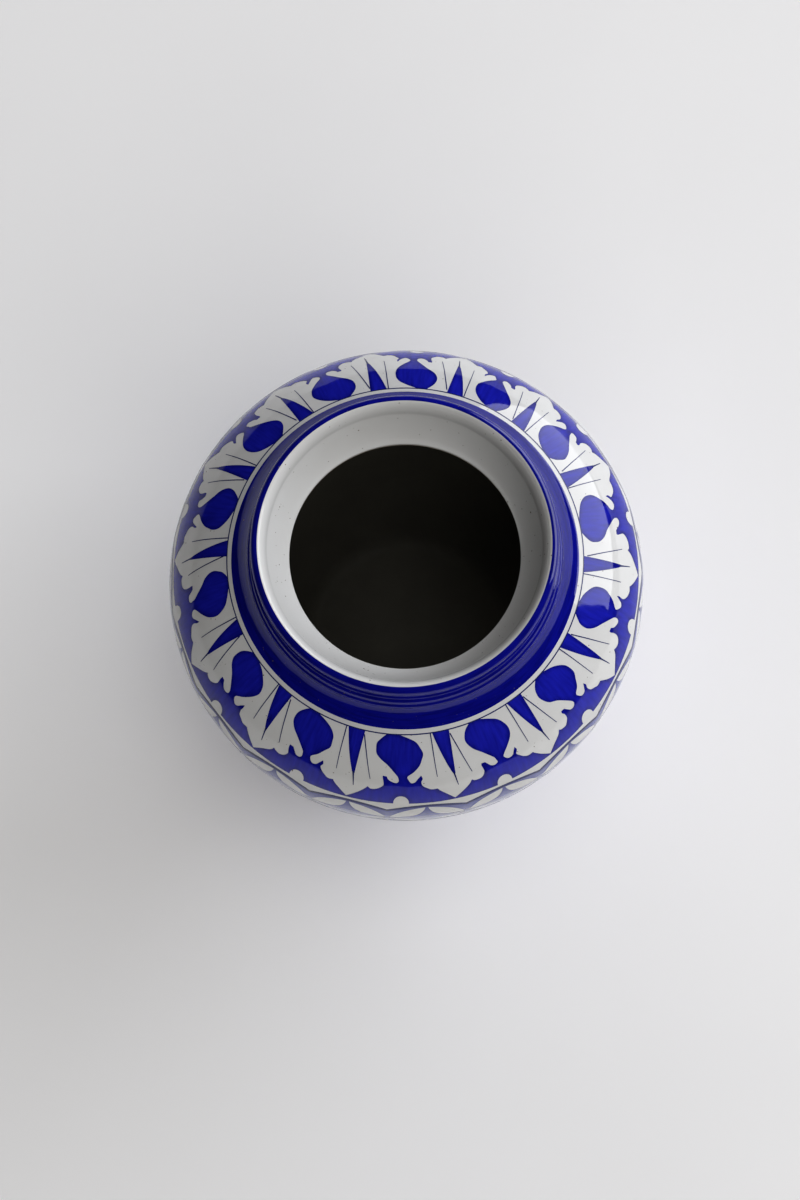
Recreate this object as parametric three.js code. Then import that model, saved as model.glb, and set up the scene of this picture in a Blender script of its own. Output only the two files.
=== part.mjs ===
// A footed pottery jar with a high round shoulder, a short flaring neck and a rolled lip.
// It is made the way such jars are made: two press-moulded body halves, a thrown foot ring,
// a floor slab, a thrown neck collar and a lip coil, joined with rebates full of liquid slip.
// Millimetres, +Z up, origin on the resting plane at the middle of the foot.
import * as THREE from "three";

// Overall shape
const height = 258; // resting plane to the crest of the lip
const bellyRadius = 120; // widest outer radius
const shoulderRise = 67.6; // upright half-axis of the shoulder's rounded arch
const shoulderPower = 2.5; // fullness of that arch: 2 is an ellipse, more is squarer
const neckHeight = 30; // shoulder root of the neck to the crest of the lip
const neckRadius = 83.3; // outer radius where the neck meets the shoulder
const footRadius = 62; // outer radius at the top of the foot ring
const footHeight = 10;
const footSwing = 24; // how far the wall has swung out at its bend above the foot
const footBend = 34; // height of that bend above the foot's joint
const bellyDrop = 74; // how far below the belly the wall still heads straight down

// Walls
const wall = 7; // body halves
const footWidth = 11; // foot ring, inside to outside
const footFlare = 1.5; // how much wider the foot is at the resting plane
const footChamfer = 1.2;
const ledgeHeight = 5; // thickness of the ledge that carries the floor slab
const ledgeWidth = 7;
const slabThickness = 4; // floor slab above the ledge
const liningThickness = 1.2; // dark sealing coat inside
const liningCorner = 6; // height of the rounded corner between floor and wall

// Neck and lip
const throatRadius = 55.5; // narrowest clear radius
const throatDepth = 25.8; // crest of the lip to the throat
const throatLand = 2.4; // height of the throat's edge
const throatFlare = 4.5; // how soon the funnel opens above the throat
const mouthRadius = 68.4; // crest of the lip
const lipRadius = 3.2; // round of the lip
const lipDepth = 8.6; // crest of the lip to the lip coil's joint
const waistRadius = 70.4; // outside of the neck just under the lip
const innerLipRadius = 64.8; // inside of the neck at the lip coil's joint
const lipHollow = 1; // how much wider the inside is below the crest
const neckSwing = 1.5; // how far the neck has swung out at the bend of its flare
const neckBend = 9; // height of that bend above the shoulder
const ridgePlaces = [0.1, 0.26, 0.45]; // along the neck's outer curve, from the lip down
const ridgeHeight = 1.1;
const ridgeSpan = 0.045; // half of a ridge's share of the neck's outer curve

// Joints
const gap = 0.3; // clearance between neighbouring solids
const slip = 0.8; // thickness of the slip in a joint
const seam = slip + 2 * gap;
const bellyLap = 6; // height of the rebate at the belly
const lipLap = 2.6; // height of the rebate under the lip
const keyHeight = 2; // tongue on top of the foot ring
const keyMargin = 3.8; // foot ring's edge to its tongue
const landWidth = 9; // flat ring on the shoulder that carries the neck collar
const landThickness = 5.5; // shoulder under that ring
const spigotDepth = 8; // how far the collar reaches into the shoulder
const spigotWall = 6;

// Facets
const segments = 40; // around the axis
const shoulderSteps = 9; // along the whole quarter arch
const bodySteps = 6;
const funnelSteps = 4;
const lipSteps = 4;

// Levels
const neckRoot = height - neckHeight;
const shoulderAt = (radius) =>
  shoulderRise * (1 - (radius / bellyRadius) ** shoulderPower) ** (1 / shoulderPower);
const bellyLevel = neckRoot - shoulderAt(neckRadius);
const throatLevel = height - throatDepth;
const lipJoint = height - lipDepth;
const collarTop = lipJoint - seam;
const bodyBottom = footHeight + seam;
const ledgeTop = bodyBottom + ledgeHeight;
const slabTop = ledgeTop + seam + slabThickness;

const point = (r, z) => new THREE.Vector2(r, z);

// Outer outline of the body: a quarter superellipse above the widest level and one smooth curve below it.
const shoulderOutline = Array.from({ length: shoulderSteps }, (_, i) => {
  const turn = ((i + 1) / (shoulderSteps + 1)) * (Math.PI / 2);
  const across = Math.cos(turn) ** (2 / shoulderPower);
  const up = Math.sin(turn) ** (2 / shoulderPower);
  return point(bellyRadius * across, bellyLevel + shoulderRise * up);
});
const lowerOutline = new THREE.CubicBezierCurve(
  point(footRadius, bodyBottom),
  point(footRadius + footSwing, bodyBottom + footBend),
  point(bellyRadius, bellyLevel - bellyDrop),
  point(bellyRadius, bellyLevel),
);
const neckOutline = new THREE.QuadraticBezierCurve(
  point(waistRadius, collarTop),
  point(waistRadius + neckSwing, neckRoot + neckBend),
  point(neckRadius, neckRoot),
);

// The radius of an outline, given from low to high, at a level.
function radiusAt(outline, level) {
  let i = 1;
  while (i < outline.length - 1 && outline[i].y < level) i += 1;
  const [a, b] = [outline[i - 1], outline[i]];
  return a.x + ((b.x - a.x) * (level - a.y)) / (b.y - a.y);
}

// A copy of an outline moved sideways by a distance, to its left as it runs.
function offset(outline, distance) {
  const normals = outline.slice(1).map((p, i) => {
    const along = p.clone().sub(outline[i]).normalize();
    return point(-along.y, along.x);
  });
  return outline.map((p, i) => {
    const before = normals[Math.max(i - 1, 0)];
    const after = normals[Math.min(i, normals.length - 1)];
    const mitre = before.clone().add(after).divideScalar(1 + before.dot(after));
    return p.clone().addScaledVector(mitre, distance);
  });
}

// The level at which an outline, given from low to high, last narrows to a radius.
function levelAt(outline, radius) {
  const i = outline.findLastIndex((p) => p.x > radius);
  const [a, b] = [outline[i], outline[i + 1]];
  return a.y + ((b.y - a.y) * (a.x - radius)) / (a.x - b.x);
}

// The part of an outline between two levels, with its ends cut exactly at them.
function between(outline, low, high) {
  return [
    point(radiusAt(outline, low), low),
    ...outline.filter((p) => p.y > low + gap && p.y < high - gap),
    point(radiusAt(outline, high), high),
  ];
}

// The body's wall from the foot to the neck: outside, inside, and the two faces of the lining.
const bodyOutside = [
  ...lowerOutline.getPoints(bodySteps),
  ...shoulderOutline,
];
const bodyInside = offset(bodyOutside, wall);
const floorRadius = radiusAt(bodyInside, ledgeTop);
const slabHole = floorRadius - ledgeWidth;
const landLevel = neckRoot - seam;
const landHole = neckRadius - landWidth;
const landBottom = landLevel - landThickness;

// A ring or disc: its section is turned about the axis. A section that starts on the axis also ends there.
const parts = [];
function turned(name, section, material) {
  const onAxis = section[0].x === 0;
  const loop = onAxis ? section : [...section, section[0]];
  const outwards = THREE.ShapeUtils.area(section) > 0 ? loop : loop.slice().reverse();
  const geometry = new THREE.LatheGeometry(outwards, segments);
  geometry.rotateX(Math.PI / 2);
  const mesh = new THREE.Mesh(geometry, material);
  mesh.name = name;
  parts.push(mesh);
}

const finish = (color, roughness) => new THREE.MeshStandardMaterial({ color, roughness, metalness: 0 });
const bareClay = 0xcfc6b8;
const driedSlip = 0xd9d3c8;
const whiteGlaze = 0xdfe2e6;
const cobaltGlaze = 0x1a2173;
const darkCoat = 0x15140f;

// Foot ring: flared, chamfered where it rests, with a tongue on top.
const footInside = footRadius - footWidth;
const keyInside = footInside + keyMargin;
const keyOutside = footRadius - keyMargin;
turned("foot_ring", [
  point(footInside + footChamfer, 0),
  point(footRadius + footFlare - footChamfer, 0),
  point(footRadius + footFlare, footChamfer),
  point(footRadius, footHeight),
  point(keyOutside, footHeight),
  point(keyOutside, footHeight + keyHeight),
  point(keyInside, footHeight + keyHeight),
  point(keyInside, footHeight),
  point(footInside, footHeight),
  point(footInside, footChamfer),
], finish(bareClay, 0.85));

// Slip between the foot ring and the body: a channel over the tongue.
turned("foot_slip", [
  point(footRadius, footHeight + gap),
  point(footRadius, bodyBottom - gap),
  point(keyOutside + seam - gap, bodyBottom - gap),
  point(keyOutside + seam - gap, bodyBottom + keyHeight - gap),
  point(keyInside - seam + gap, bodyBottom + keyHeight - gap),
  point(keyInside - seam + gap, bodyBottom - gap),
  point(footInside, bodyBottom - gap),
  point(footInside, footHeight + gap),
  point(keyInside - gap, footHeight + gap),
  point(keyInside - gap, footHeight + keyHeight + gap),
  point(keyOutside + gap, footHeight + keyHeight + gap),
  point(keyOutside + gap, footHeight + gap),
], finish(driedSlip, 0.8));

// Lower body half: grooved underneath for the foot, ledged inside for the floor, with a tongue up inside
// the belly joint.
const bellyMiddle = bellyRadius - wall / 2;
const lowerEdge = bellyLevel - seam / 2;
const upperEdge = bellyLevel + seam / 2;
turned("lower_body", [
  ...between(bodyOutside, bodyBottom, lowerEdge),
  point(bellyMiddle - seam / 2, lowerEdge),
  point(bellyMiddle - seam / 2, lowerEdge + bellyLap),
  ...between(bodyInside, ledgeTop, lowerEdge + bellyLap).reverse(),
  point(slabHole, ledgeTop),
  point(slabHole, bodyBottom),
  point(keyInside - seam, bodyBottom),
  point(keyInside - seam, bodyBottom + keyHeight),
  point(keyOutside + seam, bodyBottom + keyHeight),
  point(keyOutside + seam, bodyBottom),
], finish(whiteGlaze, 0.15));

// Floor slab: a disc that rests on the ledge, with a plug that fills the ledge's hole.
turned("base_disc", [
  point(0, bodyBottom),
  point(slabHole - seam, bodyBottom),
  point(slabHole - seam, ledgeTop + seam),
  point(floorRadius - gap, ledgeTop + seam),
  point(floorRadius - gap, slabTop),
  point(0, slabTop),
], finish(bareClay, 0.85));

// Slip under and around the floor slab.
turned("base_slip", [
  point(slabHole - gap, bodyBottom),
  point(slabHole - gap, ledgeTop + gap),
  point(floorRadius - gap, ledgeTop + gap),
  point(floorRadius - gap, ledgeTop + seam - gap),
  point(slabHole - seam + gap, ledgeTop + seam - gap),
  point(slabHole - seam + gap, bodyBottom),
], finish(driedSlip, 0.8));

// Upper body half: the outer lip of the belly joint, the shoulder, and a flat land for the neck.
const rootInside = levelAt(bodyInside, neckRadius);
turned("upper_body", [
  ...between(bodyOutside, upperEdge, landLevel),
  point(landHole, landLevel),
  point(landHole, landBottom),
  ...between(bodyInside, upperEdge + bellyLap, rootInside).reverse(),
  point(bellyMiddle + seam / 2, upperEdge + bellyLap),
  point(bellyMiddle + seam / 2, upperEdge),
], finish(whiteGlaze, 0.12));

// Slip in the belly joint, stepped like the rebate.
const bellyTongue = bellyMiddle - seam / 2;
const bellyGroove = bellyMiddle + seam / 2;
turned("belly_slip", [
  point(bellyRadius, lowerEdge + gap),
  point(bellyRadius, upperEdge - gap),
  point(bellyGroove - gap, upperEdge - gap),
  point(bellyGroove - gap, upperEdge + bellyLap - gap),
  point(radiusAt(bodyInside, upperEdge + bellyLap), upperEdge + bellyLap - gap),
  point(radiusAt(bodyInside, lowerEdge + bellyLap), lowerEdge + bellyLap + gap),
  point(bellyTongue + gap, lowerEdge + bellyLap + gap),
  point(bellyTongue + gap, lowerEdge + gap),
], finish(driedSlip, 0.8));

// Neck collar: a funnel inside, turned ridges and a hollow flare outside, a spigot below.
const spigotOutside = landHole - seam;
const spigotBottom = neckRoot - spigotDepth;
const ridge = (place) => {
  const side = neckOutline.getTangentAt(place);
  const crest = neckOutline.getPointAt(place).addScaledVector(point(-side.y, side.x), ridgeHeight);
  return [neckOutline.getPointAt(place - ridgeSpan), crest, neckOutline.getPointAt(place + ridgeSpan)];
};
const collarOutside = [
  neckOutline.getPointAt(0),
  ...ridgePlaces.flatMap(ridge),
  ...[0.63, 0.76, 0.89].map((place) => neckOutline.getPointAt(place)),
];
const lipMiddle = (waistRadius + innerLipRadius) / 2;
const lipTongue = lipMiddle - seam / 2;
const lipGroove = lipMiddle + seam / 2;
const funnel = new THREE.QuadraticBezierCurve(
  point(innerLipRadius, collarTop + lipLap),
  point(throatRadius + throatFlare, throatLevel + throatFlare),
  point(throatRadius, throatLevel),
);
turned("neck_collar", [
  ...funnel.getPoints(funnelSteps),
  point(throatRadius, throatLevel - throatLand),
  point(spigotOutside - spigotWall, spigotBottom),
  point(spigotOutside, spigotBottom),
  point(spigotOutside, neckRoot),
  point(neckRadius, neckRoot),
  ...collarOutside.reverse(),
  point(lipTongue, collarTop),
  point(lipTongue, collarTop + lipLap),
], finish(cobaltGlaze, 0.14));

// Slip under the neck collar, and between its spigot and the shoulder.
turned("neck_slip", [
  point(neckRadius, landLevel + gap),
  point(neckRadius, neckRoot - gap),
  point(spigotOutside + gap, neckRoot - gap),
  point(spigotOutside + gap, landBottom),
  point(landHole - gap, landBottom),
  point(landHole - gap, landLevel + gap),
], finish(driedSlip, 0.8));

// Lip coil: a rolled edge whose outer half hangs over the collar's tongue.
const lipCentre = height - lipRadius;
const lipTuck = 0.6; // how far below level the round starts, in radians
const lipRoll = new THREE.EllipseCurve(mouthRadius, lipCentre, lipRadius, lipRadius, -lipTuck, Math.PI / 2);
turned("mouth_rim", [
  point(waistRadius, lipJoint),
  ...lipRoll.getPoints(lipSteps),
  point(innerLipRadius + lipHollow, lipCentre),
  point(innerLipRadius, lipJoint + lipLap),
  point(lipGroove, lipJoint + lipLap),
  point(lipGroove, lipJoint),
], finish(cobaltGlaze, 0.14));

// Slip in the lip joint, stepped like the rebate.
turned("lip_slip", [
  point(waistRadius, collarTop + gap),
  point(waistRadius, lipJoint - gap),
  point(lipGroove - gap, lipJoint - gap),
  point(lipGroove - gap, lipJoint + lipLap - gap),
  point(innerLipRadius, lipJoint + lipLap - gap),
  point(innerLipRadius, collarTop + lipLap + gap),
  point(lipTongue + gap, collarTop + lipLap + gap),
  point(lipTongue + gap, collarTop + gap),
], finish(driedSlip, 0.8));

// Lining: a dark coat over the floor, round its corner and up the wall to the shoulder.
const liningOutside = offset(bodyOutside, wall + gap);
const liningInside = offset(bodyOutside, wall + gap + liningThickness);
const coatBottom = slabTop + gap;
const coatTop = coatBottom + liningThickness;
const cornerTop = coatTop + liningCorner;
const coatRim = rootInside - seam;
const corner = new THREE.QuadraticBezierCurve(
  point(radiusAt(liningInside, cornerTop), cornerTop),
  point(radiusAt(liningInside, coatTop), coatTop),
  point(radiusAt(liningInside, coatTop) - liningCorner, coatTop),
);
turned("inner_lining", [
  point(0, coatBottom),
  ...between(liningOutside, coatBottom, coatRim),
  ...between(liningInside, cornerTop, coatRim).reverse(),
  ...corner.getPoints(2).slice(1),
  point(0, coatTop),
], finish(darkCoat, 0.6));

const jar = new THREE.Group();
jar.add(...parts);
export default jar;
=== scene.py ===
import math
import random

import bmesh
import bpy
from mathutils import Matrix, Quaternion, Vector
from mathutils.geometry import delaunay_2d_cdt
from mathutils.kdtree import KDTree


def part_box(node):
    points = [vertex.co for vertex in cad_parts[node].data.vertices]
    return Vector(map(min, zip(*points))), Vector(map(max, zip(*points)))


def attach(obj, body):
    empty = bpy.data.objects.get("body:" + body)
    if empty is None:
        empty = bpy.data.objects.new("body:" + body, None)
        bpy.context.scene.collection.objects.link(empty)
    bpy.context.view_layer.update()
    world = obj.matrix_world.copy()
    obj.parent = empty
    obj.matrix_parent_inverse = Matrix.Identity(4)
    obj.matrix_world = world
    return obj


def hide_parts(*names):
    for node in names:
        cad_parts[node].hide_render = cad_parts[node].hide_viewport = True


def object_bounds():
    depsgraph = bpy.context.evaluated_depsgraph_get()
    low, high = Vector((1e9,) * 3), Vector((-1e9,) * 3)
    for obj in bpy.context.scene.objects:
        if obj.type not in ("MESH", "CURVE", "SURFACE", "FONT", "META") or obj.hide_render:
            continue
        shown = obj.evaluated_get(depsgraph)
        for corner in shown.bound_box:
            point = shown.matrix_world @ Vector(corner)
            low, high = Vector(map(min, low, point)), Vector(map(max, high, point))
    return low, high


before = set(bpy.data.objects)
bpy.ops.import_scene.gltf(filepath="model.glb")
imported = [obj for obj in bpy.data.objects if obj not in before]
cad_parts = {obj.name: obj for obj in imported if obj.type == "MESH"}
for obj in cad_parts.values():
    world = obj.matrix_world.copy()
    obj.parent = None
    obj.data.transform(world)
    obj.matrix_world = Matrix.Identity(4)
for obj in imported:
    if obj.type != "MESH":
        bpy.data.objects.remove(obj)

cad_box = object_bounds()

# Foot ring
# A thrown ring of buff clay that the jar stands on. Its foot is wiped bare before the firing, so that the
# glaze doesn't stick it to the kiln shelf, and a tongue on top of it is bedded in slip under the body.
mm = 0.001
gap = 0.3 * mm
seam = 1.4 * mm
foot_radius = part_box("foot_slip")[1].x
foot_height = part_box("foot_slip")[0].z - gap
foot_inside = foot_radius - 11 * mm
foot_flare = 1.5 * mm
foot_round = 1.4 * mm
key_margin = 3.8 * mm
key_height = 2 * mm
hub = 10 * mm  # radius of the circle that a section is swept round
facets = 256


class Value:
    """A number or colour in a finish. Arithmetic on a number adds the Math nodes that work it out."""

    def __init__(self, finish, socket):
        self.finish = finish
        self.socket = socket

    def __add__(self, other):
        return self.finish.math("ADD", self, other)

    def __sub__(self, other):
        return self.finish.math("SUBTRACT", self, other)

    def __mul__(self, other):
        return self.finish.math("MULTIPLY", self, other)

    def __radd__(self, other):
        return self.finish.math("ADD", other, self)

    def __rmul__(self, other):
        return self.finish.math("MULTIPLY", other, self)


class Finish:
    """A material made of nodes: its constants go on the shader, and what varies is built with node()."""

    def __init__(self, name, constants):
        self.material = bpy.data.materials.new(name)
        self.material.use_nodes = True
        self.tree = self.material.node_tree
        self.shader = self.tree.nodes["Principled BSDF"]
        for socket, value in constants.items():
            self.shader.inputs[socket].default_value = value

    def node(self, kind, settings, values, output=0):
        made = self.tree.nodes.new(kind)
        for name, value in settings.items():
            setattr(made, name, value)
        for socket, value in values.items():
            self.set(made.inputs[socket], value)
        return Value(self, made.outputs[output])

    def set(self, socket, value):
        if isinstance(value, Value):
            self.tree.links.new(value.socket, socket)
        else:
            socket.default_value = value

    def feed(self, **links):
        for name, value in links.items():
            self.set(self.shader.inputs[name.replace("_", " ")], value)

    def math(self, operation, a, b=0.0):
        return self.node("ShaderNodeMath", {"operation": operation}, {0: a, 1: b})

    def place(self):
        return self.node("ShaderNodeTexCoord", {}, {}, "Object")

    def noise(self, where, per_metre, detail=2.0, roughness=0.5):
        settings = {"Vector": where, "Scale": per_metre, "Detail": detail, "Roughness": roughness}
        return self.node("ShaderNodeTexNoise", {}, settings, "Fac")

    def stretched(self, where, scale):
        return self.node("ShaderNodeVectorMath", {"operation": "MULTIPLY"}, {0: where, 1: scale})

    def between(self, value, low, high, to_low=0.0, to_high=1.0):
        ends = {0: value, 1: low, 2: high, 3: to_low, 4: to_high}
        return self.node("ShaderNodeMapRange", {"interpolation_type": "SMOOTHSTEP"}, ends)

    def mix(self, share, a, b):
        return self.node("ShaderNodeMix", {"data_type": "RGBA"}, {0: share, 6: a, 7: b}, 2)

    def bump(self, height, depth):
        return self.node("ShaderNodeBump", {}, {"Height": height, "Distance": depth, "Strength": 1.0})


def tone(red, green, blue):
    """A colour as a paint chart gives it, 0 to 255, turned into the light it reflects."""
    parts = [c / 255 for c in (red, green, blue)]
    return (*[c / 12.92 if c < 0.04 else ((c + 0.055) / 1.055) ** 2.4 for c in parts], 1.0)


def clay(name, body, grain):
    """Fired clay without glaze: matt, a little sandy, with iron specks."""
    finish = Finish(name, {"Specular IOR Level": 0.25})
    where = finish.place()
    cloud = finish.noise(where, 60, 3)
    sand = finish.noise(where, 1800, 2)
    speck = finish.between(finish.noise(where, 900, 1), 0.71, 0.76)
    colour = finish.mix(cloud, tone(*body), tone(*grain))
    finish.feed(
        Base_Color=finish.mix(speck * 0.7, colour, tone(112, 84, 62)),
        Roughness=0.82 + 0.12 * sand,
        Normal=finish.bump(sand + cloud, 0.12 * mm),
    )
    return finish


# The tree that turns a section about the jar's axis, as a wheel or a jigger does.
turning = bpy.data.node_groups.new("turn_about_axis", "GeometryNodeTree")
turning.interface.new_socket("Section", in_out="INPUT", socket_type="NodeSocketGeometry")
facets_input = turning.interface.new_socket("Facets", in_out="INPUT", socket_type="NodeSocketInt")
hub_input = turning.interface.new_socket("Hub Radius", in_out="INPUT", socket_type="NodeSocketFloat")
finish_input = turning.interface.new_socket("Finish", in_out="INPUT", socket_type="NodeSocketMaterial")
turning.interface.new_socket("Turned", in_out="OUTPUT", socket_type="NodeSocketGeometry")


def step(kind, **links):
    """Adds a node to the turning tree, with its sockets fed by other nodes' outputs."""
    made = turning.nodes.new(kind)
    for socket, source in links.items():
        turning.links.new(source, made.inputs[socket.replace("_", " ")])
    return made


given = step("NodeGroupInput").outputs
section_curve = step("GeometryNodeMeshToCurve", Mesh=given["Section"])
circle = step("GeometryNodeCurvePrimitiveCircle", Resolution=given["Facets"], Radius=given["Hub Radius"])
swept = step("GeometryNodeCurveToMesh", Curve=circle.outputs[0], Profile_Curve=section_curve.outputs[0])
closed = step("GeometryNodeMergeByDistance", Geometry=swept.outputs[0])
closed.inputs["Distance"].default_value = 0.002 * mm
real = step("GeometryNodeRealizeInstances", Geometry=closed.outputs[0])
dressed = step("GeometryNodeSetMaterial", Geometry=real.outputs[0], Material=given["Finish"])
step("NodeGroupOutput", Turned=dressed.outputs[0])


def join_in(name, mesh):
    """Puts a finished mesh in the scene as a piece of the jar."""
    piece = bpy.data.objects.new(name, mesh)
    bpy.context.scene.collection.objects.link(piece)
    return piece


def turned(name, section, finish, corner=32):
    """A ring from its closed section of (radius, level) points, or a disc if that starts on the axis."""
    on_axis = section[0][0] < hub * 0.001
    count = len(section)
    ends = [(i, i + 1) for i in range(count - 1)] + ([] if on_axis else [(count - 1, 0)])
    blank = bpy.data.meshes.new(name + "_section")
    blank.from_pydata([(r - hub, -z, 0) for r, z in section], ends, [])
    shape = join_in(name + "_section", blank)
    spin = shape.modifiers.new("turn", "NODES")
    spin.node_group = turning
    spin[facets_input.identifier] = facets
    spin[hub_input.identifier] = hub
    spin[finish_input.identifier] = finish.material
    mesh = bpy.data.meshes.new_from_object(shape.evaluated_get(bpy.context.evaluated_depsgraph_get()))
    bpy.data.objects.remove(shape)
    mesh.name = name
    shell = bmesh.new()
    shell.from_mesh(mesh)
    bmesh.ops.recalc_face_normals(shell, faces=shell.faces)
    shell.to_mesh(mesh)
    shell.free()
    mesh.shade_smooth()
    mesh.set_sharp_from_angle(angle=math.radians(corner))
    return join_in(name, mesh)


def bent(points, steps):
    """The Bezier curve that a row of control points makes."""
    line = []
    for i in range(steps + 1):
        row = [Vector(p) for p in points]
        while len(row) > 1:
            row = [a.lerp(b, i / steps) for a, b in zip(row, row[1:])]
        line.append(row[0])
    return line


def arc(centre, across, up, start, end, steps):
    """Points on an ellipse's arc, with its angles in degrees."""
    turns = [math.radians(start + (end - start) * i / steps) for i in range(steps + 1)]
    return [Vector((centre[0] + across * math.cos(t), centre[1] + up * math.sin(t))) for t in turns]


bare_clay = clay("bare_clay", (214, 203, 186), (190, 176, 156))
foot_outside = foot_radius + foot_flare
key_inside = foot_inside + key_margin
key_outside = foot_radius - key_margin
foot_ring = turned("foot_ring_turned", [
    *arc((foot_inside + foot_round, foot_round), foot_round, foot_round, 180, 270, 5),
    *arc((foot_outside - foot_round, foot_round), foot_round, foot_round, 270, 360, 5),
    *bent([(foot_outside, 3 * mm), (foot_radius - 0.4 * mm, 6 * mm), (foot_radius, foot_height)], 8),
    (key_outside, foot_height),
    (key_outside, foot_height + key_height),
    (key_inside, foot_height + key_height),
    (key_inside, foot_height),
    (foot_inside, foot_height),
], bare_clay)
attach(foot_ring, "root")
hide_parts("foot_ring")

# Lower body
# The press-moulded lower half of the body, 7 mm of clay: grooved underneath for the foot ring's tongue,
# ledged inside for the floor, and with a thin tongue on top that stands inside the belly joint.
wall = 7 * mm
belly_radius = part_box("belly_slip")[1].x
lower_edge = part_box("belly_slip")[0].z - gap
upper_edge = lower_edge + seam
belly_level = lower_edge + seam / 2
belly_lap = 6 * mm
body_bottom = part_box("lower_body")[0].z
neck_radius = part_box("neck_slip")[1].x
neck_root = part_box("neck_slip")[1].z + gap
land_level = neck_root - seam
shoulder_rise = 67.6 * mm
shoulder_power = 2.5  # 2 is an ellipse, and more is squarer
foot_swing = 24 * mm
foot_bend = 34 * mm
belly_drop = 74 * mm
ledge_height = 5 * mm
ledge_width = 7 * mm
foot_steps = 72
shoulder_steps = 56
step_growth = 1.25  # over 1 puts the shoulder's steps closer together at the belly

shoulder_end = math.degrees(math.acos((neck_radius / belly_radius) ** (shoulder_power / 2)))
body_outside = bent([
    (foot_radius, body_bottom),
    (foot_radius + foot_swing, body_bottom + foot_bend),
    (belly_radius, belly_level - belly_drop),
    (belly_radius, belly_level),
], foot_steps) + [
    Vector((
        belly_radius * math.cos(turn) ** (2 / shoulder_power),
        belly_level + shoulder_rise * math.sin(turn) ** (2 / shoulder_power),
    ))
    for turn in (
        math.radians(shoulder_end * (i / shoulder_steps) ** step_growth)
        for i in range(1, shoulder_steps + 1)
    )
]


def offset(outline, distance):
    """A copy of an outline moved sideways, to the left as it runs."""
    moved = []
    for i, here in enumerate(outline):
        along = Vector(outline[min(i + 1, len(outline) - 1)]) - Vector(outline[max(i - 1, 0)])
        side = Vector((-along.y, along.x)).normalized()
        moved.append(Vector(here) + side * distance)
    return moved


def crossing(outline, axis, value):
    """The other coordinate where an outline last passes a radius (axis 0) or a level (axis 1)."""
    for a, b in reversed(list(zip(outline, outline[1:]))):
        low, high = sorted((a[axis], b[axis]))
        if low <= value <= high and high > low:
            return a[1 - axis] + (b[1 - axis] - a[1 - axis]) * (value - a[axis]) / (b[axis] - a[axis])
    raise ValueError("the outline doesn't reach that far")


def between(outline, low, high):
    """The part of a rising outline between two levels, cut exactly at them."""
    inner = [p for p in outline if low + 0.1 * mm < p[1] < high - 0.1 * mm]
    return [(crossing(outline, 1, low), low), *inner, (crossing(outline, 1, high), high)]


body_inside = offset(body_outside, wall)
belly_tongue = belly_radius - wall / 2 - seam / 2
belly_groove = belly_radius - wall / 2 + seam / 2
ledge_top = body_bottom + ledge_height
floor_radius = crossing(body_inside, 1, ledge_top)
slab_hole = floor_radius - ledge_width
lower_body = turned("lower_body_pressed", [
    *between(body_outside, body_bottom, lower_edge),
    (belly_tongue, lower_edge),
    (belly_tongue, lower_edge + belly_lap),
    *reversed(between(body_inside, ledge_top, lower_edge + belly_lap)),
    (slab_hole, ledge_top),
    (slab_hole, body_bottom),
    (key_inside - seam, body_bottom),
    (key_inside - seam, body_bottom + key_height),
    (key_outside + seam, body_bottom + key_height),
    (key_outside + seam, body_bottom),
], bare_clay)
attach(lower_body, "root")
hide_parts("lower_body")

# Floor slab
# A rolled disc of the same clay, dropped in on the ledge, with a plug that fills the ledge's hole.
# Its underside keeps the shallow rings of the wheel that it was trimmed on.
slab_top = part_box("base_disc")[1].z
ring_pitch = 2.6 * mm
ring_depth = 0.12 * mm


def ringed(radius):
    """How far the underside is pressed up at a radius."""
    return body_bottom + ring_depth * (1 - math.cos(2 * math.pi * radius / ring_pitch)) / 2


plug_radius = slab_hole - seam
plug_steps = round(plug_radius / ring_pitch) * 6
base_disc = turned("base_disc_trimmed", [
    *[(plug_radius * i / plug_steps, ringed(plug_radius * i / plug_steps)) for i in range(plug_steps + 1)],
    (plug_radius, ledge_top + seam),
    (floor_radius - gap, ledge_top + seam),
    (floor_radius - gap, slab_top),
    (0, slab_top),
], bare_clay)
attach(base_disc, "root")
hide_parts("base_disc")

# Upper body
# The press-moulded upper half: the outer lip of the belly joint, the high round shoulder, and a flat land
# on top that carries the neck.
land_hole = neck_radius - 9 * mm
land_bottom = land_level - 5.5 * mm
root_inside = crossing(body_inside, 0, neck_radius)
upper_body = turned("upper_body_pressed", [
    *between(body_outside, upper_edge, land_level),
    (land_hole, land_level),
    (land_hole, land_bottom),
    *reversed(between(body_inside, upper_edge + belly_lap, root_inside)),
    (belly_groove, upper_edge + belly_lap),
    (belly_groove, upper_edge),
], bare_clay)
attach(upper_body, "root")
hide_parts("upper_body")

# Slip
# Liquid clay brushed into every joint. It is left chalky where it has squeezed out, and the glaze hides it
# everywhere but over the foot ring.
dried_slip = clay("dried_slip", (224, 217, 204), (206, 196, 180))
for name in ("foot_slip", "base_slip", "belly_slip", "neck_slip", "lip_slip"):
    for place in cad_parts[name].material_slots:
        place.material = dried_slip.material

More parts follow.
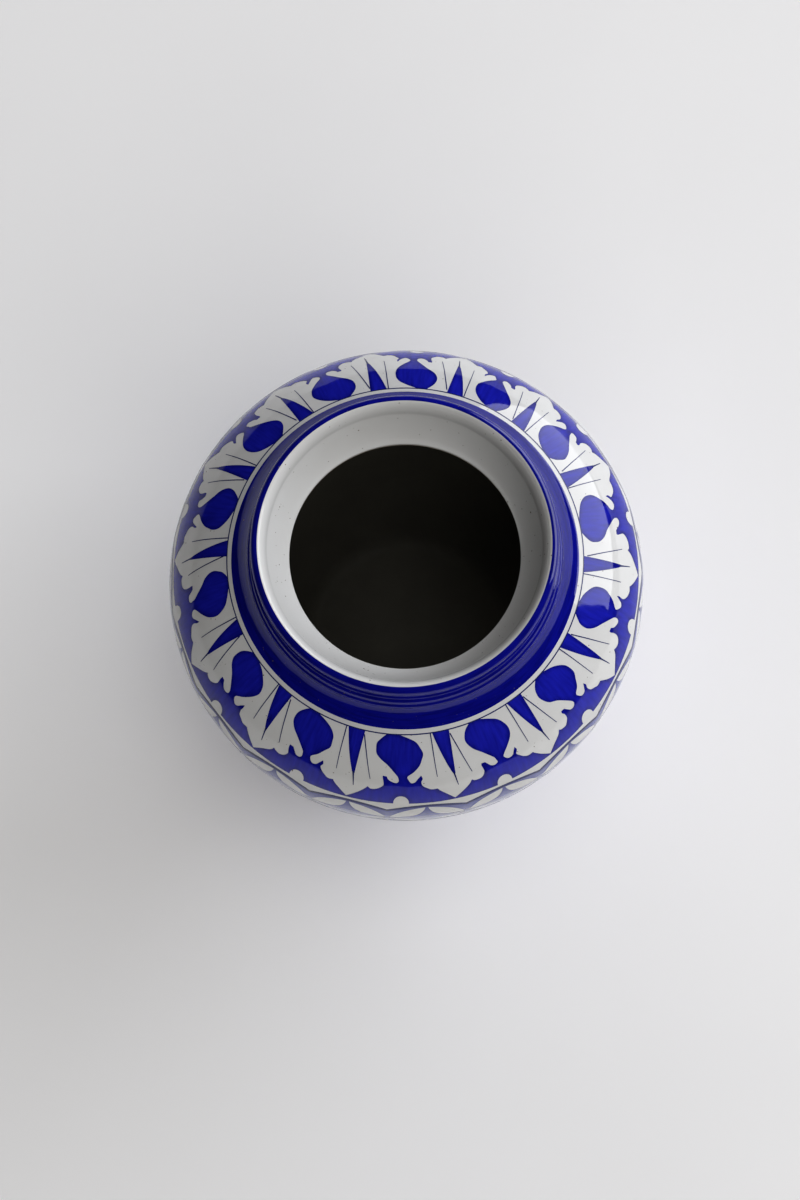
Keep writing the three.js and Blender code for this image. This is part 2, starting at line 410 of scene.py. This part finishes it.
# Neck collar
# Thrown on the wheel: a smooth funnel inside, three fine ridges under the lip and a hollow flare outside,
# and a spigot that reaches down through the shoulder.
crest = cad_box[1].z
collar_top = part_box("lip_slip")[0].z - gap
lip_joint = collar_top + seam
waist_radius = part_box("lip_slip")[1].x
neck_swing = 1.5 * mm
neck_bend = 9 * mm
throat_radius = 55.5 * mm
throat_level = crest - 25.8 * mm
throat_land = 2.4 * mm
throat_flare = 4.5 * mm
inner_lip = 64.8 * mm
lip_lap = 2.6 * mm
ridges = [(0.1, 1.0 * mm), (0.27, 1.1 * mm), (0.47, 0.5 * mm)]  # share of the way down, height
ridge_spread = 0.042
spigot_outside = land_hole - seam
spigot_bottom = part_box("neck_collar")[0].z
spigot_wall = 6 * mm

neck_steps = 90
neck_curve = bent([
    (waist_radius, collar_top),
    (waist_radius + neck_swing, neck_root + neck_bend),
    (neck_radius, neck_root),
], neck_steps)


def ridged(outline):
    """The neck's outline with its wheel-cut ridges."""
    raised = []
    for i, (here, out) in enumerate(zip(outline, offset(outline, mm))):
        share = i / (len(outline) - 1)
        height = sum(h * math.exp(-(((share - at) / ridge_spread) ** 2)) for at, h in ridges)
        raised.append(Vector(here) + (out - Vector(here)) / mm * height)
    return raised


neck_outside = ridged(neck_curve)
funnel = bent([
    (inner_lip, collar_top + lip_lap),
    (throat_radius + throat_flare, throat_level + throat_flare),
    (throat_radius, throat_level),
], 28)
lip_tongue = (waist_radius + inner_lip) / 2 - seam / 2
lip_groove = lip_tongue + seam
neck_collar = turned("neck_collar_thrown", [
    *funnel,
    (throat_radius, throat_level - throat_land),
    (spigot_outside - spigot_wall, spigot_bottom),
    (spigot_outside, spigot_bottom),
    (spigot_outside, neck_root),
    *reversed(neck_outside),
    (lip_tongue, collar_top),
    (lip_tongue, collar_top + lip_lap),
], bare_clay)
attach(neck_collar, "root")
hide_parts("neck_collar")

# Lip coil
# A rolled coil of clay on top of the collar, its outer half hanging over the collar's tongue, smoothed
# round with a wet finger.
lip_radius = 3.2 * mm
mouth_radius = 68.4 * mm
lip_hollow = 1 * mm
lip_centre = (mouth_radius, crest - lip_radius)
lip_tuck = -34  # where the round starts, in degrees below level
lip_outer_round = arc(lip_centre, lip_radius, lip_radius, lip_tuck, 90, 16)
lip_inner_round = bent([
    (mouth_radius, crest),
    (mouth_radius - 1.4 * mm, crest - 0.3 * mm),
    (inner_lip + lip_hollow, crest - lip_radius),
], 12)
mouth_rim = turned("mouth_rim_rolled", [
    (waist_radius, lip_joint),
    *lip_outer_round,
    *lip_inner_round[1:],
    (inner_lip, lip_joint + lip_lap),
    (lip_groove, lip_joint + lip_lap),
    (lip_groove, lip_joint),
], bare_clay)
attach(mouth_rim, "root")
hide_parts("mouth_rim")

# Lining
# A dark sealing coat poured round the inside: over the floor, up a rounded corner and up the wall.
# It dries almost black, with a dull sheen and faint runs.
coat_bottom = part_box("inner_lining")[0].z
coat_thickness = 1.2 * mm
coat_top = coat_bottom + coat_thickness
coat_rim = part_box("inner_lining")[1].z
corner_height = 6 * mm
coat_outside = offset(body_outside, wall + gap)
coat_inside = offset(body_outside, wall + gap + coat_thickness)
corner_radius = crossing(coat_inside, 1, coat_top)

dark_coat = Finish("dark_coat", {"Specular IOR Level": 0.4})
where = dark_coat.place()
runs = dark_coat.noise(dark_coat.stretched(where, (1, 1, 0.12)), 160, 3)
patches = dark_coat.noise(where, 28, 4, 0.6)
dark_coat.feed(
    Base_Color=dark_coat.mix(patches, tone(88, 86, 80), tone(112, 110, 102)),
    Roughness=0.42 + 0.2 * patches,
    Normal=dark_coat.bump(runs + patches, 0.5 * mm),
)
inner_lining = turned("inner_lining_poured", [
    (0, coat_bottom),
    *between(coat_outside, coat_bottom, coat_rim),
    *reversed(between(coat_inside, coat_top + corner_height, coat_rim)),
    *bent([
        (crossing(coat_inside, 1, coat_top + corner_height), coat_top + corner_height),
        (corner_radius, coat_top),
        (corner_radius - corner_height, coat_top),
    ], 8)[1:],
    (0, coat_top),
], dark_coat)
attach(inner_lining, "root")
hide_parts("inner_lining")

# White glaze
# A tin-white glaze over the whole body, poured on before the painting. It stops in a soft roll above the
# foot, and a second pour of it covers the funnel from the crest of the lip to the throat.
glaze_proud = 0.25 * mm
glaze_sunk = 0.1 * mm
glaze_stop = body_bottom + 2.2 * mm


def glaze(name, pale, deep, extra):
    """Fired glaze: glassy, gently uneven, its colour clouded and now and then pricked by a pinhole."""
    finish = Finish(name, {"IOR": 1.5})
    where = finish.place()
    cloud = finish.noise(where, 22, 3)
    ripple = finish.noise(where, 55, 1)
    prick = finish.between(finish.noise(where, 900, 0), 0.84, 0.86)
    colour = extra(finish, where, finish.mix(cloud, tone(*pale), tone(*deep)))
    finish.feed(
        Base_Color=finish.mix(prick, colour, tone(96, 84, 70)),
        Roughness=finish.between(cloud, 0.2, 0.8, 0.03, 0.07),
        Normal=finish.bump(ripple + cloud - 0.3 * prick, 0.18 * mm),
    )
    return finish


def skin(name, outline, finish):
    """A coat on an outline: a thin closed band, its outer face proud of the clay."""
    under = reversed(offset(outline, glaze_sunk))
    return turned(name, [*offset(outline, -glaze_proud), *under], finish, 50)


def plain(finish, where, colour):
    return colour


white_glaze = glaze("white_glaze", (212, 213, 214), (203, 203, 202), plain)
body_line = [Vector(p) for p in between(body_outside, glaze_stop, neck_root)]
body_glaze = skin("body_glaze", body_line, white_glaze)
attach(body_glaze, "root")

funnel_line = [
    *lip_inner_round,
    (inner_lip, lip_joint + lip_lap),
    *funnel,
    *bent([
        (throat_radius, throat_level - 0.3 * mm),
        (throat_radius, throat_level - throat_land),
        (throat_radius + 1.2 * mm, throat_level - throat_land - 1.2 * mm),
    ], 6),
]
funnel_glaze = skin("funnel_glaze", funnel_line, white_glaze)
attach(funnel_glaze, "root")

# Blue neck
# Cobalt brushed over the outside of the neck and lip while the jar turns on a banding wheel, from the
# shoulder to the crest. It pools between the ridges and thins on their tops.
neck_line = [*reversed(lip_outer_round), (waist_radius, lip_joint), *neck_outside]


def banded(finish, where, colour):
    """Brush bands round the neck: fine streaks that follow the wheel."""
    streak = finish.noise(finish.stretched(where, (0.25, 0.25, 4)), 300, 2)
    return finish.mix(finish.between(streak, 0.35, 0.75, 0, 0.6), colour, tone(10, 13, 92))


cobalt_glaze = glaze("cobalt_glaze", (22, 25, 150), (14, 17, 116), banded)
neck_glaze = skin("neck_glaze", list(reversed(neck_line)), cobalt_glaze)
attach(neck_glaze, "root")

# Shoulder frieze
# Painted in cobalt over the white glaze: fourteen drops that open into a blue ground, with a white leaf
# left between each two. Each leaf has a spike down its middle and a hair line on either side of it.
# The paint is a film of its own on the glaze, and each outline is cut as the brush left it.
paint_proud = 0.3 * mm
paint_sunk = 0.1 * mm
line_proud = 0.33 * mm
fill_pitch = 2.2 * mm
pool_width = 2.4 * mm
brush = random.Random(7)

surface = list(reversed(body_outside))
reaches = [0.0]
for a, b in zip(surface, surface[1:]):
    reaches.append(reaches[-1] + (b - a).length)


def on_body(reach):
    """The radius and level at a distance down the outside from the neck, and the way that the wall faces."""
    reach = min(max(reach, 0.0), reaches[-1])
    low, high = 0, len(reaches) - 1
    while high - low > 1:
        middle = (low + high) // 2
        low, high = (middle, high) if reaches[middle] <= reach else (low, middle)
    share = (reach - reaches[low]) / (reaches[high] - reaches[low])
    before, after = surface[max(low - 1, 0)], surface[min(high + 1, len(surface) - 1)]
    first = (surface[high] - before).normalized()
    second = (after - surface[low]).normalized()
    along = first.lerp(second, share).normalized()
    return surface[low].lerp(surface[high], share), Vector((-along.y, along.x))


def swept_line(points, steps=7):
    """A smooth line through a row of points, as a loaded brush draws it."""
    line = []
    for a, b, c, d in zip([points[0], *points], points, points[1:], [*points[2:], points[-1]]):
        a, b, c, d = Vector(a), Vector(b), Vector(c), Vector(d)
        speed = c - a
        bend = 2 * a - 5 * b + 4 * c - d
        swing = 3 * b - a - 3 * c + d
        for i in range(steps):
            t = i / steps
            line.append(0.5 * (2 * b + speed * t + bend * t**2 + swing * t**3))
    return [*line, Vector(points[-1])]


def painted(name, finish, shapes, gaps, proud, width):
    """A film of paint on the body. Shapes and gaps are outlines of (bearing in degrees, reach in mm), and
    width is how many mm a degree covers there. A shape that goes all the way round starts and ends at one
    bearing."""
    outlines = [[Vector((p[0] * width * mm, p[1] * mm)) for p in shape] for shape in shapes + gaps]
    for outline in outlines:
        if sum(a.x * b.y - a.y * b.x for a, b in zip(outline, outline[1:] + outline[:1])) < 0:
            outline.reverse()
    points = [p for outline in outlines for p in outline]
    faces, count = [], 0
    for outline in outlines:
        faces.append(list(range(count, count + len(outline))))
        count += len(outline)
    edge = KDTree(len(points))
    for i, p in enumerate(points):
        edge.insert((*p, 0), i)
    edge.balance()
    left, right = min(p.x for p in points), max(p.x for p in points)
    low, high = min(p.y for p in points), max(p.y for p in points)
    for row in range(int((high - low) / fill_pitch) + 1):
        for column in range(int((right - left) / fill_pitch) + 1):
            fill = Vector((left + (column + 0.5 * (row % 2)) * fill_pitch, low + row * fill_pitch))
            if edge.find((*fill, 0))[2] > 0.45 * fill_pitch:
                points.append(fill)
    flat, _, cells, _, _, owners = delaunay_2d_cdt(points, [], faces, 0, 1e-7)
    kept = [c for c, own in zip(cells, owners) if own and not any(f >= len(shapes) for f in own)]
    turn = 360 * width * mm
    film, tops, normals, pools = [], [], [], []
    known, at = {}, {}
    for i in sorted({i for cell in kept for i in cell}):
        key = (round((flat[i].x % turn) / turn * 1e7) % 10**7, round(flat[i].y * 1e7))
        if key not in known:
            known[key] = len(tops)
            bearing = flat[i].x / turn * 2 * math.pi
            (radius, height), side = on_body(flat[i].y)
            round_about = Vector((math.cos(bearing), math.sin(bearing), 0))
            normal = round_about * side.x + Vector((0, 0, side.y))
            tops.append(round_about * radius + Vector((0, 0, height)))
            normals.append(normal)
            pools.append(min(edge.find((*flat[i], 0))[2] / pool_width, 1.0))
            film.append(flat[i])
        at[i] = known[key]
    total = len(tops)
    upper = [[at[i] for i in cell] for cell in kept]
    sides = {}
    for cell in upper:
        for pair in zip(cell, cell[1:] + cell[:1]):
            sides[pair] = True
    rim = [pair for pair in sides if (pair[1], pair[0]) not in sides]
    spots = [p + n * proud for p, n in zip(tops, normals)]
    spots += [p - n * paint_sunk for p, n in zip(tops, normals)]
    outward = (spots[upper[0][1]] - spots[upper[0][0]]).cross(spots[upper[0][2]] - spots[upper[0][0]])
    flipped = outward.dot(normals[upper[0][0]]) < 0
    top_faces = [tuple(reversed(c)) if flipped else tuple(c) for c in upper]
    under = [tuple(i + total for i in reversed(c)) for c in top_faces]
    walls = [(b, a, a + total, b + total) if not flipped else (a, b, b + total, a + total) for a, b in rim]
    mesh = bpy.data.meshes.new(name)
    mesh.from_pydata(spots, [], top_faces + under + walls)
    mesh.materials.append(finish.material)
    depth = mesh.attributes.new("pool", "FLOAT", "POINT")
    depth.data.foreach_set("value", pools + [0.0] * total)
    cloth = mesh.uv_layers.new(name="brush")
    for loop in mesh.loops:
        cloth.uv[loop.index].vector = film[loop.vertex_index % total]
    mesh.shade_smooth()
    beneath = range(len(top_faces), 2 * len(top_faces))
    facing = []
    for face in mesh.polygons:
        way = -1 if face.index in beneath else 1
        facing += [normals[corner % total] * way for corner in face.vertices]
    mesh.normals_split_custom_set(facing)
    return join_in(name, mesh)


def brushed_paint(name, pale, deep, streaks):
    """Cobalt paint with a glaze's shine: streaked by the brush, and darkest where it pooled at an edge."""
    finish = Finish(name, {"IOR": 1.43})
    where = finish.place()
    drawn = finish.node("ShaderNodeUVMap", {"uv_map": "brush"}, {})
    pool = finish.node("ShaderNodeAttribute", {"attribute_name": "pool"}, {}, "Fac")
    cloud = finish.noise(where, 45, 3)
    ripple = finish.noise(where, 55, 1)
    streak = finish.noise(finish.stretched(drawn, (1, 0.14, 1)), 550, 2)
    thin = finish.between(pool, 0.0, 1.0, 0.4, 1.0)
    share = thin * (0.5 + 0.5 * cloud) + streaks * (streak - 0.5)
    finish.feed(
        Base_Color=finish.mix(share, tone(*deep), tone(*pale)),
        Roughness=finish.between(cloud, 0.2, 0.8, 0.03, 0.08),
        Normal=finish.bump(ripple + cloud, 0.2 * mm),
    )
    return finish


leaf_bearings = [24, 47.5, 71, 96, 122, 148, 174, 200.5, 226.5, 252, 278.5, 304, 329, 355]
line_at = 2.5
line_half = 0.28
leaf_tip = 42.6
ground_end = 43.6
shoulder_width = 1.75  # mm to a degree, half way down the shoulder
leaf_pitch = 25.9  # degrees between leaves, for the offsets below

# One side of a leaf, from its tip up to the drop beside it, as strokes that meet at corners.
leaf_right = [
    [(0, leaf_tip), (2.1, 38.4), (4.0, 35.0), (4.9, 32.4)],
    [(4.9, 32.4), (5.7, 33.5), (6.9, 33.6), (8.0, 32.3), (8.6, 30.2), (8.6, 27.8), (8.3, 25.8), (8.4, 24.7)],
    [(8.4, 24.7), (9.4, 24.9)],
    [(9.4, 24.9), (10.0, 26.6), (10.8, 28.2), (11.8, 28.6), (12.5, 27.7), (12.5, 25.9), (11.9, 23.7),
     (9.5, 18.9), (7.5, 15.9), (6.3, 13.0), (5.8, 10.2), (6.1, 7.4), (7.1, 4.9), (8.8, 2.3)],
]
leaf_left = [
    [(-14.2, 2.3), (-11.0, 4.2), (-8.7, 6.6), (-7.3, 9.6), (-6.8, 12.8), (-7.1, 15.9), (-8.1, 18.9),
     (-9.6, 22.0), (-11.1, 24.7), (-11.1, 26.6), (-10.2, 28.5), (-9.2, 28.1), (-8.5, 26.3), (-7.7, 24.3)],
    [(-7.7, 24.3), (-7.5, 26.2), (-7.9, 28.3), (-7.4, 30.6), (-6.4, 32.4), (-5.2, 33.6), (-3.9, 33.4)],
    [(-3.9, 33.4), (-3.3, 35.0), (-1.9, 38.4), (0, leaf_tip)],
]
spike_left = [(-3.7, 2.3), (-2.4, 10), (-1.1, 17.5), (0.3, 25.2)]
spike_right = [(1.0, 26.0), (1.2, 18), (1.45, 10), (1.75, 2.3)]
spike_tail = [(0.6, 24.8), (0.85, 28), (1.2, 33.4)]
tail_start, tail_end = 0.9, 0.3  # thickness in mm, as for the next
hair_start, hair_end = 0.62, 0.28
hair_lines = [
    [(-4.1, 2.5), (-4.0, 9), (-3.9, 17), (-3.7, 26)],
    [(1.9, 4.5), (3.2, 12), (4.3, 19.5), (5.4, 27.5)],
]
dot_half = 1.9
dot_top = 37.4


def placed(strokes, axis, spread, down):
    """A motif's strokes at a bearing, their inner points moved a little, as no two are painted alike."""
    line = []
    for stroke in strokes:
        points = [Vector((axis + p[0] * spread, down(p[1]))) for p in stroke]
        for p in points[1:-1]:
            p += Vector((brush.uniform(-0.16, 0.16), brush.uniform(-0.18, 0.18)))
        line += swept_line(points)[:-1]
    return line


def hair(points, start, end, width):
    """A thin line that tapers from one thickness in mm to another."""
    line = swept_line(points, 5)
    sides = [[], []]
    for i, here in enumerate(line):
        along = line[min(i + 1, len(line) - 1)] - line[max(i - 1, 0)]
        side = Vector((-along.y, along.x * width)).normalized()
        half = (start + (end - start) * i / (len(line) - 1)) / 2
        sides[0].append(here + Vector((side.x / width, side.y)) * half)
        sides[1].append(here - Vector((side.x / width, side.y)) * half)
    return sides[0] + list(reversed(sides[1]))


def ring(level, half):
    """A band round the jar, half its thickness either side of a reach, with the wobble of a steady hand."""
    bearings = [2 * i for i in range(181)]
    slow = [0.06 * math.sin(math.radians(b * 3)) for b in bearings]
    quick = [0.05 * math.sin(math.radians(b * 7 + 40)) for b in bearings]
    wobble = [a + b for a, b in zip(slow, quick)]
    upper = [Vector((b, level - half + w)) for b, w in zip(bearings, wobble)]
    lower = [Vector((b, level + half + w)) for b, w in zip(bearings, wobble)]
    return upper + list(reversed(lower))


def frieze(bearings, down, width):
    """The blue ground with its drops, the spikes, and the hair lines of one frieze, from leaf to leaf."""
    ground, spikes, hairs, dots = [], [], [], []
    leaves = [*bearings, bearings[0] + 360]
    for leaf, after in zip(leaves, leaves[1:]):
        spread = (after - leaf) / leaf_pitch
        ground += placed(leaf_right, leaf, spread, down)
        ground += placed(leaf_left, after, spread, down)
        middle = leaf + brush.uniform(-0.3, 0.3)
        spike = [[(middle + x, down(y)) for x, y in side] for side in (spike_left, spike_right)]
        spikes.append(swept_line(spike[0]) + swept_line(spike[1]))
        hairs.append(hair([(middle + x, down(y)) for x, y in spike_tail], tail_start, tail_end, width))
        for line in hair_lines:
            hairs.append(hair([(leaf + x, down(y)) for x, y in line], hair_start, hair_end, width))
        dots.append((leaf + after) / 2 + brush.uniform(-0.3, 0.3))
    ground.append(Vector((leaves[-1], down(leaf_tip))))
    ground.append(Vector((leaves[-1], down(ground_end))))
    for leaf, dot in reversed(list(zip(leaves, dots))):
        lift = ground_end - dot_top
        dome = arc((0, 0), 1, 1, 0, 180, 18)
        right = ground[-1].x
        ground += [Vector((right + (dot + dot_half - right) * i / 6, down(ground_end))) for i in range(1, 6)]
        ground += [Vector((dot + dot_half * p.x, down(ground_end - lift * p.y**0.8))) for p in dome]
        steps = [dot - dot_half - (dot - dot_half - leaf) * i / 6 for i in range(1, 7)]
        ground += [Vector((b, down(ground_end))) for b in steps]
    return ground, spikes, hairs


cobalt_paint = brushed_paint("cobalt_paint", (34, 38, 172), (14, 17, 104), 1.0)
line_paint = brushed_paint("line_paint", (44, 52, 112), (30, 36, 92), 0.2)
ground, spikes, hairs = frieze(leaf_bearings, lambda reach: reach, shoulder_width)
shoulder_paint = painted("shoulder_paint", cobalt_paint, [ground, *spikes], [], paint_proud, shoulder_width)
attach(shoulder_paint, "root")
top_lines = [ring(line_at, line_half), *hairs]
shoulder_lines = painted("shoulder_lines", line_paint, top_lines, [], line_proud, shoulder_width)
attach(shoulder_lines, "root")

# Belly band
# A thinned blue wash round the widest part, over and under the joint, with white petals left in it that cross
# from scallop to scallop. Each scallop is edged with one darker stroke.
scallops = 19
scallop_at = 271.5  # bearing of one scallop's crown
scallop_pitch = 360 / scallops
scallop_round = 40.0
scallop_crown = 46.5
edge_half = 1.0
band_middle = 66.5
belly_width = 2.07
petal_bulge = 4.7
petal_steps = 14


def scallop(bearing):
    """The reach of the scalloped edge at a bearing."""
    from_crown = (bearing - scallop_at + scallop_pitch / 2) % scallop_pitch - scallop_pitch / 2
    return scallop_crown + scallop_round - math.sqrt(scallop_round**2 - (from_crown * belly_width) ** 2)


def petal(tip, end, width, bulge):
    """A pointed oval between two places."""
    tip, end = Vector(tip), Vector(end)
    along = end - tip
    length = math.hypot(along.x * width, along.y)
    across = Vector((-along.y / length / width, along.x * width / length))
    rows = [
        (i / petal_steps, bulge * math.sin(math.pi * i / petal_steps) ** 0.85)
        for i in range(petal_steps + 1)
    ]
    one = [tip + along * t + across * d for t, d in rows]
    other = [tip + along * t - across * d for t, d in rows[1:-1]]
    return one + list(reversed(other))


wash_edge = [Vector((scallop_at + i * scallop_pitch / 16, 0)) for i in range(16 * scallops + 1)]
far_edge = [Vector((p.x, 2 * band_middle - scallop(p.x))) for p in wash_edge]
near_edge = [Vector((p.x, scallop(p.x))) for p in wash_edge]
cut = [scallop_crown + (band_middle - scallop_crown) * i / 8 for i in range(1, 16)]
wash = near_edge + [Vector((scallop_at + 360, y)) for y in cut]
wash += list(reversed(far_edge)) + [Vector((scallop_at, y)) for y in reversed(cut)]
petals = []
for i in range(scallops):
    for way in (-1, 1):
        crown = scallop_at + (i + (way < 0)) * scallop_pitch
        for half in (-1, 1):
            tip = (crown + way * 0.35, band_middle + half * (band_middle - scallop_crown - 1.6))
            end = (crown + way * (scallop_pitch / 2 - 0.45), band_middle + half * 1.1)
            petals.append(petal(tip, end, belly_width, petal_bulge + brush.uniform(-0.2, 0.2)))


def edging(line):
    """A stroke of even width along one edge of the wash."""
    upper = [Vector((p.x, p.y - edge_half)) for p in line]
    lower = [Vector((p.x, p.y + edge_half)) for p in line]
    return upper + list(reversed(lower))


blue_wash = brushed_paint("blue_wash", (104, 110, 166), (74, 80, 142), 0.5)
belly_wash = painted("belly_wash", blue_wash, [wash], petals, paint_proud, belly_width)
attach(belly_wash, "root")
edges = [edging(near_edge), edging(far_edge)]
belly_edges = painted("belly_edges", line_paint, edges, [], line_proud, belly_width)
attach(belly_edges, "root")

# Lower frieze
# The shoulder's frieze again, upside down and with sixteen leaves, because the body is wider here. Two thin
# lines close it off from the spears below.
lower_leaves = 16
lower_pitch = 360 / lower_leaves
lower_bearings = [15 + i * lower_pitch + brush.uniform(-0.5, 0.5) for i in range(lower_leaves)]
lower_width = 2.0


def mirrored(reach):
    """The reach as far below the belly band as the given one is above it."""
    return 2 * band_middle - reach


ground, spikes, hairs = frieze(lower_bearings, mirrored, lower_width)
lower_paint = painted("lower_paint", cobalt_paint, [ground, *spikes], [], paint_proud, lower_width)
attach(lower_paint, "root")
low_line_at = mirrored(line_at)
low_line_gap = 3.4
low_rings = [ring(low_line_at, 0.22), ring(low_line_at + low_line_gap, 0.3)]
lower_lines = painted("lower_lines", line_paint, low_rings + hairs, [], line_proud, lower_width)
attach(lower_lines, "root")

# Spears
# Long leaves that rise from the foot to the lower frieze, each with a bare vein, and a small drop hung
# between each two. A solid band closes the painting just above the edge of the glaze.
spear_side = [(7.0, 236), (8.2, 220), (8.0, 200), (5.9, 174), (2.7, 152), (0, 141)]
vein = (229, 160)
vein_half = 1.0
hung_drop = (138.5, 158)
drop_half = 2.6
spear_width = 1.55
band_at = 239.6
band_half = 1.5
band_line_gap = 2.6
stem_reaches = (235, 215, 190, 166)
stem_start, stem_end = 0.6, 0.25
spears, veins, stems = [], [], [ring(band_at - band_line_gap, 0.2)]
for i in range(lower_leaves):
    middle = lower_bearings[i] + lower_pitch / 2 + brush.uniform(-0.2, 0.2)
    right = [(middle + x + brush.uniform(-0.15, 0.15), y) for x, y in spear_side]
    left = [(middle - x + brush.uniform(-0.15, 0.15), y) for x, y in reversed(spear_side[:-1])]
    spears.append(swept_line(right)[:-1] + swept_line([right[-1], *left]))
    vein_ends = [(middle, y) for y in vein]
    veins.append(petal(*vein_ends, spear_width, vein_half))
    between_two = middle + lower_pitch / 2
    drop_ends = [(between_two, y) for y in hung_drop]
    spears.append(petal(*drop_ends, spear_width, drop_half))
    stem = [(between_two, y) for y in stem_reaches]
    stems.append(hair(stem, stem_start, stem_end, spear_width))
spears.append(ring(band_at, band_half))
spear_paint = painted("spear_paint", cobalt_paint, spears, veins, paint_proud, spear_width)
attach(spear_paint, "root")
spear_lines = painted("spear_lines", line_paint, stems, [], line_proud, spear_width)
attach(spear_lines, "root")

# Studio
# A pale table, a big window on the right, and a dim room whose walls and ceiling throw back a little light.
# Only the window is mirrored in the glaze: the other lights are kept out of its reflections.
table = bpy.data.meshes.new("table")
reach = 4.5
corners = [(x * reach, y * reach, 0) for x, y in ((-1, -1), (1, -1), (1, 1), (-1, 1))]
table.from_pydata(corners, [], [(0, 1, 2, 3)])
floor = join_in("table", table)
matt = Finish("table_top", {"Roughness": 0.75, "Specular IOR Level": 0.2})
where = matt.place()
matt.feed(Base_Color=matt.mix(matt.noise(where, 6, 2), tone(243, 243, 244), tone(247, 247, 248)))
table.materials.append(matt.material)


lamp_distance = 6.0
lamp_aim = Vector((0, 0, 0.2))


def lamp(name, bearing, height, lean, across, up, power, colour, shines=False):
    """A soft rectangular light that faces the jar from a bearing and height in degrees, and leans to one
    side. The glaze mirrors it only if it shines."""
    light = bpy.data.lights.new(name, "AREA")
    light.shape = "RECTANGLE"
    light.size = across
    light.size_y = up
    light.energy = power
    light.color = colour
    body = bpy.data.objects.new(name, light)
    bpy.context.scene.collection.objects.link(body)
    flat = math.cos(math.radians(height))
    bearing = math.radians(bearing)
    out = Vector((flat * math.cos(bearing), flat * math.sin(bearing), math.sin(math.radians(height))))
    body.location = lamp_aim + out * lamp_distance
    body.rotation_mode = "QUATERNION"
    body.rotation_quaternion = (-out).to_track_quat("-Z", "Y") @ Quaternion((0, 0, 1), math.radians(lean))
    body.visible_camera = False
    body.visible_glossy = shines


lamp("window", 31, 21, -15, 7.4, 4.2, 325, (0.96, 0.97, 1.0), shines=True)
lamp("front_wall", 300, 46, 0, 8.0, 6.0, 205, (1.0, 0.98, 0.95))
lamp("back_wall", 90, 28, 0, 5.0, 3.0, 50, (1.0, 0.98, 0.97))
lamp("ceiling", 0, 86, 0, 3.0, 3.0, 45, (1.0, 0.99, 0.97))

# A pale backdrop stands behind the table. It is only seen, and lights nothing.
backdrop = bpy.data.worlds.new("backdrop")
backdrop.use_nodes = True
bpy.context.scene.world = backdrop
air = backdrop.node_tree.nodes["Background"]
air.inputs["Color"].default_value = tone(196, 197, 199)
for ray in ("diffuse", "glossy", "transmission", "scatter"):
    setattr(backdrop.cycles_visibility, ray, False)
bpy.context.scene.view_settings.view_transform = "Standard"
bpy.context.scene.view_settings.look = "Medium High Contrast"

# Camera
# Almost overhead, a little in front of the jar, with the mouth just above the middle of the picture. It looks
# from view_distance away, and is rolled slightly, as a camera held by hand is.
view_height = math.radians(77.5)
view_roll = math.radians(-3.57)
view_distance = 0.7702
view_side = 2.0 * mm
view_up = 27.2 * mm
towards = Vector((0, math.cos(view_height), -math.sin(view_height)))
level = Vector((1, 0, 0))
above = level.cross(towards)
across = level * math.cos(view_roll) + above * math.sin(view_roll)
upward = above * math.cos(view_roll) - level * math.sin(view_roll)
lens = bpy.data.cameras.new("camera")
lens.lens = 50
lens.sensor_width = 36
lens.clip_start = 0.01
camera = bpy.data.objects.new("camera", lens)
bpy.context.scene.collection.objects.link(camera)
mouth = Vector((0, 0, crest))
camera.matrix_world = Matrix.Translation(
    mouth - towards * view_distance - across * view_side - upward * view_up
) @ Matrix((across, upward, -towards)).transposed().to_4x4()
bpy.context.scene.camera = camera
